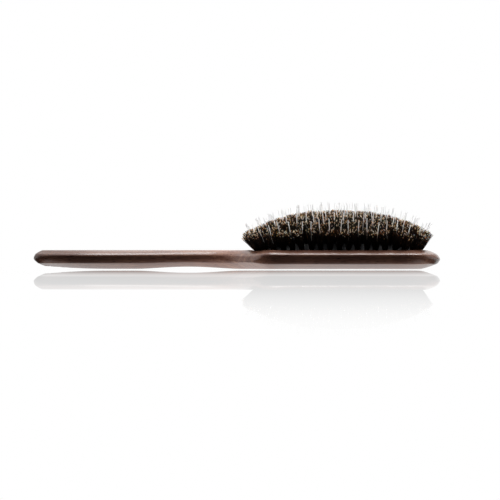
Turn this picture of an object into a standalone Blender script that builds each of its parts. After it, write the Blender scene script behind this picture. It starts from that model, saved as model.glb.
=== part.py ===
"""Wooden paddle hairbrush with an air-cushioned bed of boar tufts and nylon quills.

Metres, +Z up. The brush lies on its back: z = 0 is the flat back of the paddle, the handle points
to -X, the bristles point up, and the origin is under the middle of the whole length.
"""

import math
from collections import namedtuple

import bmesh
import bpy
from mathutils import Vector, geometry

MM = 0.001

# One-piece wooden paddle: a flat head, a necked handle and softly bevelled edges
OVERALL_LENGTH = 243.0 * MM
BODY_THICKNESS = 11.3 * MM
HEAD_LENGTH = 120.6 * MM
HEAD_WIDTH = 78.0 * MM
HEAD_CORNER = 25.0 * MM
SHOULDER_FROM_HEAD = 5.6 * MM
SHOULDER_HALF_WIDTH = 27.0 * MM
SHOULDER_ANGLE = math.radians(52)
SHOULDER_PULL = 7.0 * MM
SHOULDER_CORNER = 22.0 * MM
SHOULDER_CORNER_PULL = 8.0 * MM
NECK_HALF_WIDTH = 9.5 * MM
NECK_PULL = 16.0 * MM
NECK_BEFORE_HEAD = 20.0 * MM
HANDLE_HALF_WIDTH = 13.0 * MM
BUTT_PULL = 9.0 * MM
BELLY_FROM_BUTT = 36.0 * MM
BELLY_PULL = 20.0 * MM
OUTLINE_STEPS = (7, 8, 7, 5, 4, 7, 2)

# Edge sections of the paddle. A place is how far in from the outline, and how high
EdgeShape = namedtuple("EdgeShape", "back_bevel face_bevel lower_arris widest_z side_top upper_arris")
PLAIN_EDGE = EdgeShape(
    back_bevel=14.0 * MM,
    face_bevel=7.8 * MM,
    lower_arris=(1.3 * MM, 3.45 * MM),
    widest_z=6.6 * MM,
    side_top=(0.2 * MM, 8.15 * MM),
    upper_arris=(1.55 * MM, 9.25 * MM),
)
BUTT_EDGE = EdgeShape(
    back_bevel=8.6 * MM,
    face_bevel=6.4 * MM,
    lower_arris=(3.6 * MM, 2.9 * MM),
    widest_z=6.1 * MM,
    side_top=(0.35 * MM, 7.7 * MM),
    upper_arris=(1.5 * MM, 9.25 * MM),
)
NECK_EDGE = EdgeShape(
    back_bevel=14.0 * MM,
    face_bevel=14.5 * MM,
    lower_arris=(0.4 * MM, 4.0 * MM),
    widest_z=4.5 * MM,
    side_top=(2.0 * MM, 7.5 * MM),
    upper_arris=(4.4 * MM, 9.1 * MM),
)
HEAD_EDGE = EdgeShape(
    back_bevel=14.0 * MM,
    face_bevel=7.8 * MM,
    lower_arris=(1.3 * MM, 3.05 * MM),
    widest_z=6.6 * MM,
    side_top=(0.2 * MM, 8.4 * MM),
    upper_arris=(1.5 * MM, 9.5 * MM),
)
END_EDGE = EdgeShape(
    back_bevel=12.0 * MM,
    face_bevel=8.4 * MM,
    lower_arris=(1.6 * MM, 3.25 * MM),
    widest_z=5.8 * MM,
    side_top=(0.5 * MM, 7.1 * MM),
    upper_arris=(1.9 * MM, 8.8 * MM),
)
EDGE_STEPS = (3, 1, 1, 2, 3)
BUTT_ROUND = 14.0 * MM
END_ROUND = 12.0 * MM
NECK_EDGE_SPAN = (-16.0 * MM, 4.0 * MM)
HEAD_EDGE_SPAN = (6.0 * MM, 17.0 * MM)
HANDLE_EDGE_SCALE = 0.9
NECK_EDGE_SCALE = 0.63
HEAD_EDGE_GROWTH = 40.0 * MM

# The handle's underside rises at the waist and at the butt
WAIST_LIFT = 1.3 * MM
WAIST_FROM_BUTT = 93.0 * MM
WAIST_REACH = 32.0 * MM
BUTT_LIFT = 2.4 * MM
BUTT_REACH = 46.0 * MM

# Cushion pad, its seat in the head, and the air chamber behind it
RIM_WIDTH = 9.3 * MM
PAD_HALF_LENGTH = HEAD_LENGTH / 2 - RIM_WIDTH
PAD_HALF_WIDTH = HEAD_WIDTH / 2 - RIM_WIDTH
PAD_CORNER = 16.0 * MM
PAD_THICKNESS = 1.5 * MM
PAD_EDGE_Z = 8.45 * MM
DOME_RISE = 12.55 * MM
DOME_POWER = 2.55
DOME_SQUARENESS = 5.0
DOME_MARGIN = 0.6 * MM
DOME_LOOPS = 8
FLANGE_WIDTH = 2.0 * MM
SEAT_GAP = 0.3 * MM
CHAMBER_FLOOR_Z = 2.2 * MM
CHAMBER_LEDGE = 0.8 * MM
VENT_DIAMETER = 1.8 * MM
VENT_INSET = 6.8 * MM

# Bristle bed: rings of tufts round a centre row, each tuft with a quill on its inner side
RING_COUNT = 5
FIRST_RING_INSET = 3.6 * MM
RING_SPACING = (PAD_HALF_WIDTH - FIRST_RING_INSET) / RING_COUNT
RING_CORNER = 3.0 * MM
TUFT_PITCH = 5.5 * MM
FAN_LENGTHWISE = math.radians(30)
FAN_CROSSWISE = math.radians(30)
FAN_LENGTHWISE_POWER = 2.6
FAN_CROSSWISE_POWER = 1.3
SLICE_THICKNESS = 0.6 * MM
SLICE_GAP = 0.6 * MM
Strand = namedtuple("Strand", "root tip length setback")
TUFT = Strand(root=1.7 * MM, tip=2.1 * MM, length=14.3 * MM, setback=0.0)
QUILL = Strand(root=0.7 * MM, tip=0.55 * MM, length=19.3 * MM, setback=1.75 * MM)

# Anchor wires that hold the tufts behind the pad
WIRE_DIAMETER = 0.8 * MM
WIRE_GAP = 0.5 * MM
WIRE_STEP = 8.0 * MM

BUTT_X = -OVERALL_LENGTH / 2
HEAD_END_X = OVERALL_LENGTH / 2
HEAD_X = HEAD_END_X - HEAD_LENGTH / 2
HEAD_START_X = HEAD_END_X - HEAD_LENGTH
NECK_X = HEAD_START_X - NECK_BEFORE_HEAD
QUARTER_CIRCLE_PULL = 0.5523
SMOOTH_ANGLE = math.radians(35)
CUTTER_TOP = 30.0 * MM
MERGE = 0.01 * MM

# A line of the bed. place_at gives the place at a distance along it, and the direction out across it
BedLine = namedtuple("BedLine", "label distances place_at closed")


def clear_scene():
    """Start from an empty file."""
    for obj in list(bpy.data.objects):
        bpy.data.objects.remove(obj, do_unlink=True)


def collection(name):
    """A new collection in the scene."""
    made = bpy.data.collections.new(name)
    bpy.context.scene.collection.children.link(made)
    return made


def material(name, colour, roughness, metallic=0.0):
    """A Principled material of one colour."""
    made = bpy.data.materials.new(name)
    made.use_nodes = True
    shader = made.node_tree.nodes["Principled BSDF"]
    shader.inputs["Base Color"].default_value = (*colour, 1.0)
    shader.inputs["Roughness"].default_value = roughness
    shader.inputs["Metallic"].default_value = metallic
    return made


def add_object(name, data, group, parent=None, finish=None):
    """Put a mesh, a curve or an empty (no data) into a collection, under its parent."""
    obj = bpy.data.objects.new(name, data)
    group.objects.link(obj)
    obj.parent = parent
    if finish is not None:
        data.materials.append(finish)
    return obj


def add_cutter(name, mesh, group, parent):
    """A helper solid that only a Boolean uses."""
    cutter = add_object(name, mesh, group, parent)
    cutter.hide_render = True
    cutter.display_type = "WIRE"
    return cutter


def mesh_from_bmesh(name, work):
    """Turn a bmesh into a smooth-shaded mesh, with its doubles merged."""
    bmesh.ops.remove_doubles(work, verts=work.verts, dist=MERGE)
    mesh = bpy.data.meshes.new(name)
    work.to_mesh(mesh)
    work.free()
    mesh.shade_smooth()
    mesh.set_sharp_from_angle(angle=SMOOTH_ANGLE)
    return mesh


def mirror_over_length(obj):
    """Mirror a half piece over the plane through the brush's length."""
    mirror = obj.modifiers.new("two_sides", "MIRROR")
    mirror.use_axis = (False, True, False)
    mirror.merge_threshold = MERGE


def cut(obj, name, cutter):
    """Take a cutter away from a piece."""
    boolean = obj.modifiers.new(name, "BOOLEAN")
    boolean.operation = "DIFFERENCE"
    boolean.object = cutter


def skin(work, rows, closed=False):
    """Loft quads between rows of points. A closed row joins its last point to its first."""
    grid = [[work.verts.new(point) for point in row] for row in rows]
    for lower, upper in zip(grid, grid[1:]):
        count = len(lower)
        for i in range(count if closed else count - 1):
            j = (i + 1) % count
            work.faces.new((lower[i], lower[j], upper[j], upper[i]))
    return grid


def smooth_step(value, low, high):
    """0 below low, 1 above high, and an even ease between."""
    t = min(max((value - low) / (high - low), 0.0), 1.0)
    return t * t * (3 - 2 * t)


def knot(x, y, pull_x, pull_y):
    """A smooth Bezier knot: its place, and its handles at minus and plus the pull."""
    place = Vector((x, y, 0))
    pull = Vector((pull_x, pull_y, 0))
    return place, place - pull, place + pull


def bezier_chain(knots, steps):
    """Points along the arcs between knots, with the given steps on each arc."""
    points = []
    for (start, _, leave), (end, arrive, _), count in zip(knots, knots[1:], steps):
        points += geometry.interpolate_bezier(start, leave, arrive, end, count + 1)[:-1]
    return points + [knots[-1][0]]


# Wooden paddle


def half_outline():
    """The paddle's outline from the butt to the head's end, on the side y >= 0."""
    half_width = HEAD_WIDTH / 2
    corner_pull = HEAD_CORNER * QUARTER_CIRCLE_PULL
    shoulder_pull_x = SHOULDER_PULL * math.cos(SHOULDER_ANGLE)
    shoulder_pull_y = SHOULDER_PULL * math.sin(SHOULDER_ANGLE)
    knots = [
        knot(BUTT_X, 0, 0, BUTT_PULL),
        knot(BUTT_X + BELLY_FROM_BUTT, HANDLE_HALF_WIDTH, BELLY_PULL, 0),
        knot(NECK_X, NECK_HALF_WIDTH, NECK_PULL, 0),
        knot(HEAD_START_X + SHOULDER_FROM_HEAD, SHOULDER_HALF_WIDTH, shoulder_pull_x, shoulder_pull_y),
        knot(HEAD_START_X + SHOULDER_CORNER, half_width, SHOULDER_CORNER_PULL, 0),
        knot(HEAD_END_X - HEAD_CORNER, half_width, corner_pull, 0),
        knot(HEAD_END_X, half_width - HEAD_CORNER, 0, -corner_pull),
        knot(HEAD_END_X, 0, 0, -corner_pull),
    ]
    return bezier_chain(knots, OUTLINE_STEPS)


def edge_line(shape):
    """An edge as points of inset and height: back bevel, lower arris, side, upper arris, face bevel."""
    upper_inset, upper_z = shape.upper_arris
    steepness = math.atan2(upper_z - shape.widest_z, upper_inset)
    side_pull = 0.48 * MM
    knots = [
        knot(shape.back_bevel, 0, -2.5 * MM, 0),
        knot(*shape.lower_arris, -0.25 * MM, 0.2 * MM),
        knot(0, shape.widest_z, 0, 0.25 * (shape.widest_z - shape.lower_arris[1])),
        knot(*shape.side_top, side_pull * math.cos(steepness), side_pull * math.sin(steepness)),
        knot(upper_inset, upper_z, 0.5 * MM, 0.34 * MM),
        knot(shape.face_bevel, BODY_THICKNESS, 0.3 * (shape.face_bevel - upper_inset), 0),
    ]
    return bezier_chain(knots, EDGE_STEPS)


def edge_weights(x):
    """How far each other edge takes over from the plain one at x."""
    at_butt = max(0.0, 1 - (x - BUTT_X) / BUTT_ROUND) ** 2
    past_handle = smooth_step(x - HEAD_START_X, *NECK_EDGE_SPAN)
    past_neck = smooth_step(x - HEAD_START_X, *HEAD_EDGE_SPAN)
    at_end = smooth_step(x, HEAD_END_X - END_ROUND, HEAD_END_X)
    return {
        BUTT_EDGE: at_butt,
        NECK_EDGE: past_handle * (1 - past_neck),
        HEAD_EDGE: past_neck * (1 - at_end),
        END_EDGE: at_end,
    }


def edge_scale(x):
    """How wide the edge is at x: it narrows with the handle to the neck and grows over the head."""
    narrowing = smooth_step(x, BUTT_X + BELLY_FROM_BUTT, NECK_X)
    growing = smooth_step(x, HEAD_START_X, HEAD_START_X + HEAD_EDGE_GROWTH)
    scale = HANDLE_EDGE_SCALE + (NECK_EDGE_SCALE - HANDLE_EDGE_SCALE) * narrowing
    return scale + (1 - NECK_EDGE_SCALE) * growing


def underside_lift(x, z):
    """How far a point of the back is raised: a bump at the waist and a rise towards the butt."""
    from_butt = x - BUTT_X
    waist = max(0.0, 1 - ((from_butt - WAIST_FROM_BUTT) / WAIST_REACH) ** 2) ** 2
    butt = max(0.0, 1 - from_butt / BUTT_REACH) ** 2
    below_widest = max(0.0, 1 - z / PLAIN_EDGE.widest_z)
    below_arris = max(0.0, 1 - z / PLAIN_EDGE.lower_arris[1])
    return WAIST_LIFT * waist * below_widest + BUTT_LIFT * butt * below_arris


def paddle_section(point, inward):
    """One lofted section: back centre line, the edge in from the outline, face centre line."""
    plain = edge_line(PLAIN_EDGE)
    edge = [place.copy() for place in plain]
    for shape, weight in edge_weights(point.x).items():
        for place, start, end in zip(edge, plain, edge_line(shape)):
            place += (end - start) * weight
    scale = edge_scale(point.x)
    row = []
    for inset, z, _ in edge:
        x = point.x + inward.x * inset * scale
        y = max(0.0, point.y + inward.y * inset * scale)
        row.append(Vector((x, y, z)))
    row.insert(0, Vector((row[0].x, 0, row[0].z)))
    row.append(Vector((row[-1].x, 0, row[-1].z)))
    for place in row:
        place.z += underside_lift(place.x, place.z)
    return row


def inward_at(outline, i):
    """Direction into the paddle at one point of its half outline."""
    if i == 0:
        return Vector((1, 0, 0))
    if i == len(outline) - 1:
        return Vector((-1, 0, 0))
    along = outline[i + 1] - outline[i - 1]
    return Vector((along.y, -along.x, 0)).normalized()


def build_paddle(group, seat_cutter, finish):
    """Half the paddle lofted along its outline, mirrored, with the pad's seat and chamber cut out."""
    outline = half_outline()
    work = bmesh.new()
    skin(work, [paddle_section(point, inward_at(outline, i)) for i, point in enumerate(outline)])
    paddle = add_object("paddle_body", mesh_from_bmesh("paddle_body", work), group, finish=finish)
    mirror_over_length(paddle)
    cut(paddle, "pad_seat", seat_cutter)


# Pad outline, its inward offsets and its dome, all measured from the head's centre


def contour_size(inset):
    """Half length, half width and corner radius of the pad's outline moved in by inset."""
    half_length = PAD_HALF_LENGTH - inset
    half_width = PAD_HALF_WIDTH - inset
    return half_length, half_width, max(PAD_CORNER - inset, min(RING_CORNER, half_width))


def half_contour_pieces(inset):
    """Lengths of the contour's stretches on y >= 0: half end, corner, side, corner, half end."""
    half_length, half_width, radius = contour_size(inset)
    corner = radius * math.pi / 2
    return half_width - radius, corner, 2 * (half_length - radius), corner, half_width - radius


def contour_at(inset, distance):
    """Place and outward direction on a contour, going round from its +X end towards +Y."""
    half_length, half_width, radius = contour_size(inset)
    end, corner, side, _, _ = half_contour_pieces(inset)
    half_round = sum(half_contour_pieces(inset))
    if distance > half_round:
        place, out = contour_at(inset, 2 * half_round - distance)
        return Vector((place.x, -place.y)), Vector((out.x, -out.y))
    core = Vector((half_length - radius, half_width - radius))
    if distance <= end:
        return Vector((half_length, distance)), Vector((1, 0))
    distance -= end
    if distance <= corner and radius > 0:
        angle = distance / radius
        out = Vector((math.cos(angle), math.sin(angle)))
        return core + out * radius, out
    distance -= corner
    if distance <= side:
        return Vector((core.x - distance, half_width)), Vector((0, 1))
    distance -= side
    if distance <= corner and radius > 0:
        angle = math.pi / 2 + distance / radius
        out = Vector((math.cos(angle), math.sin(angle)))
        return Vector((-core.x, core.y)) + out * radius, out
    return Vector((-half_length, max(0.0, core.y - (distance - corner)))), Vector((-1, 0))


def half_contour(inset, steps):
    """Places along the half contour, with the given steps on each of its stretches."""
    distances = [0.0]
    for length, count in zip(half_contour_pieces(inset), steps):
        start = distances[-1]
        distances += [start + length * (i + 1) / count for i in range(count)]
    return [contour_at(inset, distance)[0] for distance in distances]


def pad_top(place):
    """Height of the pad's outer face: a crowned dome that meets a flat edge."""
    along = abs(place.x) / (PAD_HALF_LENGTH - DOME_MARGIN)
    across = abs(place.y) / (PAD_HALF_WIDTH - DOME_MARGIN)
    reach = (along**DOME_SQUARENESS + across**DOME_SQUARENESS) ** (1 / DOME_SQUARENESS)
    return PAD_EDGE_Z + DOME_RISE * (1 - min(reach, 1.0) ** DOME_POWER)


def pad_steepness(place):
    """How much thicker the pad measures straight down than through its own wall."""
    step_x = Vector((SEAT_GAP, 0))
    step_y = Vector((0, SEAT_GAP))
    slope_x = (pad_top(place + step_x) - pad_top(place - step_x)) / (2 * SEAT_GAP)
    slope_y = (pad_top(place + step_y) - pad_top(place - step_y)) / (2 * SEAT_GAP)
    return math.sqrt(1 + slope_x**2 + slope_y**2)


def at_height(place, z):
    """A plan place raised to height z."""
    return Vector((place.x, place.y, z))


def build_seat_cutter(cutters, head):
    """Cutter for the air chamber, the groove that grips the pad's flange, and the mouth above it."""
    groove_low = PAD_EDGE_Z - PAD_THICKNESS - SEAT_GAP
    groove_high = PAD_EDGE_Z + SEAT_GAP
    groove_inset = -FLANGE_WIDTH - SEAT_GAP
    levels = (
        (CHAMBER_LEDGE, CHAMBER_FLOOR_Z),
        (CHAMBER_LEDGE, groove_low),
        (groove_inset, groove_low),
        (groove_inset, groove_high),
        (0.0, groove_high),
        (0.0, CUTTER_TOP),
    )
    rows = []
    for inset, z in levels:
        half = half_contour(inset, (1, 6, 1, 6, 1))
        other_half = [Vector((place.x, -place.y)) for place in reversed(half[1:-1])]
        rows.append([at_height(place, z) for place in half + other_half])
    work = bmesh.new()
    grid = skin(work, rows, closed=True)
    work.faces.new(list(reversed(grid[0])))
    work.faces.new(grid[-1])
    return add_cutter("pad_seat_cutter", mesh_from_bmesh("pad_seat_cutter", work), cutters, head)


# Cushion pad


def build_vent_cutter(cutters, head):
    """The air hole through the pad, at the handle end between the first two rings."""
    work = bmesh.new()
    radius = VENT_DIAMETER / 2
    bmesh.ops.create_cone(work, cap_ends=True, segments=8, radius1=radius, radius2=radius, depth=CUTTER_TOP)
    cutter = add_cutter("vent_cutter", mesh_from_bmesh("vent_cutter", work), cutters, head)
    cutter.location = (VENT_INSET - PAD_HALF_LENGTH, 0, PAD_EDGE_Z)
    return cutter


def build_pad(group, head, vent_cutter, finish):
    """The domed rubber sheet with its flange: a half surface, mirrored and given its thickness."""
    dome_depth = PAD_HALF_WIDTH - DOME_MARGIN
    insets = [-FLANGE_WIDTH, 0.0, DOME_MARGIN]
    insets += [DOME_MARGIN + dome_depth * ((i + 1) / DOME_LOOPS) ** 1.25 for i in range(DOME_LOOPS)]
    loops = [half_contour(min(inset, PAD_HALF_WIDTH), (2, 4, 8, 4, 2)) for inset in insets]
    work = bmesh.new()
    skin(work, [[at_height(place, pad_top(place)) for place in loop] for loop in loops])
    pad = add_object("cushion_pad", mesh_from_bmesh("cushion_pad", work), group, head, finish)
    mirror_over_length(pad)
    sheet = pad.modifiers.new("rubber_sheet", "SOLIDIFY")
    sheet.thickness = PAD_THICKNESS
    sheet.offset = -1
    cut(pad, "vent", vent_cutter)


# Bristle bed


def ring_line(index):
    """A ring of tufts that follows the pad's outline. Ring 0 is the outermost."""
    inset = FIRST_RING_INSET + RING_SPACING * index
    round_length = 2 * sum(half_contour_pieces(inset))
    count = round(round_length / TUFT_PITCH)
    distances = [(i + 0.5) * round_length / count for i in range(count)]

    def place_at(distance):
        return contour_at(inset, distance % round_length)

    return BedLine(f"ring_{index + 1}", distances, place_at, closed=True)


def centre_line():
    """The straight row of tufts on the pad's crown."""
    count = round(2 * (PAD_HALF_LENGTH - PAD_HALF_WIDTH) / TUFT_PITCH)
    distances = [(i + 0.5 - count / 2) * TUFT_PITCH for i in range(count)]

    def place_at(distance):
        return Vector((distance, 0)), Vector((0, -1))

    return BedLine("centre_row", distances, place_at, closed=False)


def strand_direction(place):
    """The way a strand points: upright at the bed's centre, and fanned out towards its edges."""
    along = place.x / (PAD_HALF_LENGTH - FIRST_RING_INSET)
    across = place.y / (PAD_HALF_WIDTH - FIRST_RING_INSET)
    lean_x = math.copysign(FAN_LENGTHWISE * abs(along) ** FAN_LENGTHWISE_POWER, along)
    lean_y = math.copysign(FAN_CROSSWISE * abs(across) ** FAN_CROSSWISE_POWER, across)
    return Vector((math.tan(lean_x), math.tan(lean_y), 1)).normalized()


def slice_rows(line, strand):
    """Three-sided sections of the slice of pad skin, one at each edge of every strand's root."""
    half_root = strand.root / 2
    rows = []
    for distance in line.distances:
        for edge in (distance - half_root, distance + half_root):
            place, out = line.place_at(edge)
            middle = place - out * strand.setback
            outer = middle + out * half_root
            inner = middle - out * half_root
            top = SLICE_GAP + SLICE_THICKNESS
            rows.append((
                at_height(outer, pad_top(outer) + top),
                at_height(inner, pad_top(inner) + top),
                at_height(middle, pad_top(middle) + SLICE_GAP),
            ))
    return rows


def build_strands(name, group, parent, finish, line, strand):
    """Tapered four-sided strands standing on one slice of the pad's skin."""
    rows = slice_rows(line, strand)
    work = bmesh.new()
    grid = skin(work, rows + rows[:1] if line.closed else rows, closed=True)
    if not line.closed:
        work.faces.new(list(reversed(grid[0])))
        work.faces.new(grid[-1])
    work.faces.ensure_lookup_table()
    faces_per_strand = 2 * len(rows[0])
    roots = [work.faces[faces_per_strand * i] for i in range(len(line.distances))]
    tips = bmesh.ops.extrude_discrete_faces(work, faces=roots)["faces"]
    for face, distance in zip(tips, line.distances):
        centre = face.calc_center_median()
        place, _ = line.place_at(distance)
        reach = strand_direction(place) * (strand.length - SLICE_GAP - SLICE_THICKNESS)
        for vert in face.verts:
            vert.co = centre + (vert.co - centre) * (strand.tip / strand.root) + reach
    bmesh.ops.remove_doubles(work, verts=work.verts, dist=MERGE)
    bmesh.ops.recalc_face_normals(work, faces=work.faces)
    add_object(name, mesh_from_bmesh(name, work), group, parent, finish)


def build_wire(name, group, parent, finish, line):
    """The anchor wire behind the pad, under one line of tufts."""
    pitch = line.distances[1] - line.distances[0]
    start = line.distances[0] - pitch / 2
    length = pitch * len(line.distances)
    count = round(length / WIRE_STEP)
    curve = bpy.data.curves.new(name, "CURVE")
    curve.dimensions = "3D"
    curve.bevel_depth = WIRE_DIAMETER / 2
    curve.bevel_resolution = 0
    curve.use_fill_caps = True
    spline = curve.splines.new("POLY")
    spline.use_cyclic_u = line.closed
    spline.points.add(count - 1 if line.closed else count)
    for i, point in enumerate(spline.points):
        place, _ = line.place_at(start + length * i / count)
        drop = PAD_THICKNESS * pad_steepness(place) + WIRE_GAP + WIRE_DIAMETER / 2
        point.co = (place.x, place.y, pad_top(place) - drop, 1)
    add_object(name, curve, group, parent, finish)


def main():
    """Build every piece of the brush."""
    clear_scene()
    brush = collection("paddle_brush")
    cutters = collection("cutters")
    walnut = material("lacquered_walnut", (0.25, 0.11, 0.073), 0.3)
    rubber = material("black_rubber", (0.02, 0.02, 0.021), 0.65)
    boar = material("boar_bristle", (0.018, 0.014, 0.011), 0.5)
    nylon = material("clear_nylon", (0.8, 0.8, 0.82), 0.25)
    steel = material("tinned_wire", (0.55, 0.55, 0.57), 0.35, 1.0)
    head = add_object("head_centre", None, brush)
    head.location = (HEAD_X, 0, 0)
    build_paddle(brush, build_seat_cutter(cutters, head), walnut)
    build_pad(brush, head, build_vent_cutter(cutters, head), rubber)
    for line in [ring_line(index) for index in range(RING_COUNT)] + [centre_line()]:
        press = add_object(f"press_{line.label}", None, brush, head)
        build_strands(f"bristle_{line.label}", brush, press, boar, line, TUFT)
        build_strands(f"quill_{line.label}", brush, press, nylon, line, QUILL)
        build_wire(f"wire_{line.label}", brush, press, steel, line)


main()
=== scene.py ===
"""Looks of a wooden paddle brush: lacquered walnut, a rubber air cushion, boar tufts and nylon quills.

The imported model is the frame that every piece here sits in. Lengths are in metres, the handle points
to -X, the bristles point to +Z and z = 0 is the flat back of the paddle.
"""

import logging
import math
from collections.abc import Callable
from dataclasses import dataclass, field
from enum import Enum
from functools import partial
from typing import Any

import bmesh
import bpy
import numpy as np
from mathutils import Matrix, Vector


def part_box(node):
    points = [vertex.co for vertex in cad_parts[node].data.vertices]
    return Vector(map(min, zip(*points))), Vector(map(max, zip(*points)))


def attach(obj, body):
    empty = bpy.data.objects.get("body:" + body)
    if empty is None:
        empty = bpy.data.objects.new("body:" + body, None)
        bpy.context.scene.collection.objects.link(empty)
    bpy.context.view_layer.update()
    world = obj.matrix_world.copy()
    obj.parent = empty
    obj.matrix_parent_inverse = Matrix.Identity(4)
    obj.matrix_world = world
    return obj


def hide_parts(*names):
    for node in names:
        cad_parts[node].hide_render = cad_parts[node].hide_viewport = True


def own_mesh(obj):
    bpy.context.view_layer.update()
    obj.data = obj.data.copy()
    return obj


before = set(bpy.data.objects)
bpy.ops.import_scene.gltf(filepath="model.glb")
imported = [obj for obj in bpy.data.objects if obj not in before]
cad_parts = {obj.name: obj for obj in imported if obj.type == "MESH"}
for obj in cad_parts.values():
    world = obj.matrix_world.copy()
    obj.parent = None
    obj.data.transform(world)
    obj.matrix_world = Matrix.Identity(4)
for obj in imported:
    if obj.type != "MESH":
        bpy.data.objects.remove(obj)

MM = 0.001
HEAD_LENGTH = 120.6 * MM
HEAD_WIDTH = 78.0 * MM
GOLDEN_ANGLE = math.pi * (3 - math.sqrt(5))
WELD = 0.001 * MM

Pair = tuple[float, float]
Triple = tuple[float, float, float]

log = logging.getLogger("paddle_brush")


class Slot(Enum):
    """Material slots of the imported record."""

    WALNUT = "lacquered_walnut"
    RUBBER = "black_rubber"
    BOAR = "boar_bristle"
    NYLON = "clear_nylon"
    WIRE = "tinned_wire"


class Shading(Enum):
    """How a piece's faces catch the light: the angle in degrees past which an edge stays sharp."""

    FLAT = 0
    CRISP = 35
    SOFT = 180


# Arrays to meshes


def shade(mesh: bpy.types.Mesh, shading: Shading) -> None:
    """Shade a mesh's faces smooth, up to the angle past which an edge stays sharp."""
    mesh.shade_smooth()
    mesh.set_sharp_from_angle(angle=math.radians(shading.value))


@dataclass
class Surface:
    """Points and faces of a mesh, with an optional UV place for each point."""

    points: np.ndarray
    faces: list[np.ndarray]
    uv: np.ndarray | None = None

    @classmethod
    def grid(cls, points: np.ndarray) -> "Surface":
        """Join a grid of points into quads.

        Args:
            points: Places, as rows x columns x 3.

        Returns:
            The surface, with one quad between each four neighbours.
        """
        rows, columns = points.shape[:2]
        index = np.arange(rows * columns).reshape(rows, columns)
        quads = np.stack([index[:-1, :-1], index[:-1, 1:], index[1:, 1:], index[1:, :-1]], axis=-1)
        return cls(points.reshape(-1, 3), [quads.reshape(-1, 4)])

    def mirrored(self) -> "Surface":
        """The surface with its copy over the plane y = 0, without the faces that lie in that plane."""
        other = self.points * np.array([1, -1, 1])
        shift = len(self.points)
        in_plane = self.points[:, 1] == 0
        outer = [part[~in_plane[part].all(axis=1)] for part in self.faces]
        faces = [np.concatenate([part, part[:, ::-1] + shift]) for part in outer]
        return Surface(np.concatenate([self.points, other]), faces)

    def joined(self, other: "Surface") -> "Surface":
        """This surface and another one as a single surface."""
        shift = len(self.points)
        faces = self.faces + [part + shift for part in other.faces]
        return Surface(np.concatenate([self.points, other.points]), faces)

    def to_object(self, name: str, shading: Shading, weld: float = 0.0) -> bpy.types.Object:
        """Make a Blender object of the surface.

        Args:
            name: The piece's name.
            shading: How its faces catch the light.
            weld: Distance under which points become one, or 0 to leave them as they are.

        Returns:
            The new object, linked to the scene and sitting at the origin.
        """
        mesh = bpy.data.meshes.new(name)
        corners = np.concatenate([part.ravel() for part in self.faces])
        sides = np.concatenate([np.full(len(part), part.shape[1]) for part in self.faces])
        mesh.vertices.add(len(self.points))
        mesh.vertices.foreach_set("co", self.points.astype(np.float32).ravel())
        mesh.loops.add(len(corners))
        mesh.loops.foreach_set("vertex_index", corners.astype(np.int32))
        mesh.polygons.add(len(sides))
        starts = np.concatenate([[0], np.cumsum(sides)[:-1]])
        mesh.polygons.foreach_set("loop_start", starts.astype(np.int32))
        if self.uv is not None:
            layer = mesh.uv_layers.new(name="strand")
            layer.uv.foreach_set("vector", self.uv[corners].astype(np.float32).ravel())
        mesh.update(calc_edges=True)
        if weld:
            work = bmesh.new()
            work.from_mesh(mesh)
            bmesh.ops.remove_doubles(work, verts=work.verts, dist=weld)
            bmesh.ops.dissolve_degenerate(work, edges=work.edges, dist=weld)
            bmesh.ops.recalc_face_normals(work, faces=work.faces)
            work.to_mesh(mesh)
            work.free()
        if shading is not Shading.FLAT:
            shade(mesh, shading)
        made = bpy.data.objects.new(name, mesh)
        bpy.context.scene.collection.objects.link(made)
        return made


def smooth_step(value: np.ndarray, low: float, high: float) -> np.ndarray:
    """0 below low, 1 above high, and an even ease between."""
    t = np.clip((value - low) / (high - low), 0, 1)
    return t * t * (3 - 2 * t)


def unit(vectors: np.ndarray) -> np.ndarray:
    """Vectors of length one, along the last axis."""
    return vectors / np.linalg.norm(vectors, axis=-1, keepdims=True)


def square_to(axis: np.ndarray, aside: Triple) -> tuple[np.ndarray, np.ndarray]:
    """Two unit directions square to each axis and to each other, the first also square to aside."""
    first = unit(np.cross(axis, np.array(aside)))
    return first, np.cross(axis, first)


def spokes(angle: np.ndarray, first: np.ndarray, second: np.ndarray) -> np.ndarray:
    """Directions at angles from the first direction towards the second."""
    return np.cos(angle)[..., None] * first[:, None] + np.sin(angle)[..., None] * second[:, None]


def along_length(points: np.ndarray) -> np.ndarray:
    """Distance along a line of points, from 0 at its start to 1 at its end."""
    steps = np.linalg.norm(np.diff(points, axis=0), axis=1)
    total = np.concatenate([[0], np.cumsum(steps)])
    return total / total[-1]


@dataclass(frozen=True)
class Knot:
    """A smooth knot of a Bezier line: its place, and the pull of its handles along the line."""

    x: float
    y: float
    pull_x: float
    pull_y: float


def bezier_line(knots: list[Knot], steps: tuple[int, ...]) -> tuple[np.ndarray, np.ndarray]:
    """Points and directions along the cubic arcs between knots.

    An arc is (1-t)^3 A + 3 t (1-t)^2 (A + pull A) + 3 t^2 (1-t) (B - pull B) + t^3 B.

    Args:
        knots: The line's knots, in order.
        steps: How many steps each arc is cut into.

    Returns:
        The points and the unit directions there, each as n x 2.
    """
    points, directions = [], []
    for number, (first, last, count) in enumerate(zip(knots, knots[1:], steps)):
        final_arc = number == len(steps) - 1
        t = np.linspace(0, 1, count + 1)[:, None]
        t = t if final_arc else t[:-1]
        a = np.array([first.x, first.y])
        b = a + np.array([first.pull_x, first.pull_y])
        d = np.array([last.x, last.y])
        c = d - np.array([last.pull_x, last.pull_y])
        points.append((1 - t) ** 3 * a + 3 * t * (1 - t) ** 2 * b + 3 * t**2 * (1 - t) * c + t**3 * d)
        directions.append(unit((1 - t) ** 2 * (b - a) + 2 * t * (1 - t) * (c - b) + t**2 * (d - c)))
    return np.concatenate(points), np.concatenate(directions)


# Colours and nodes


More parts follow.
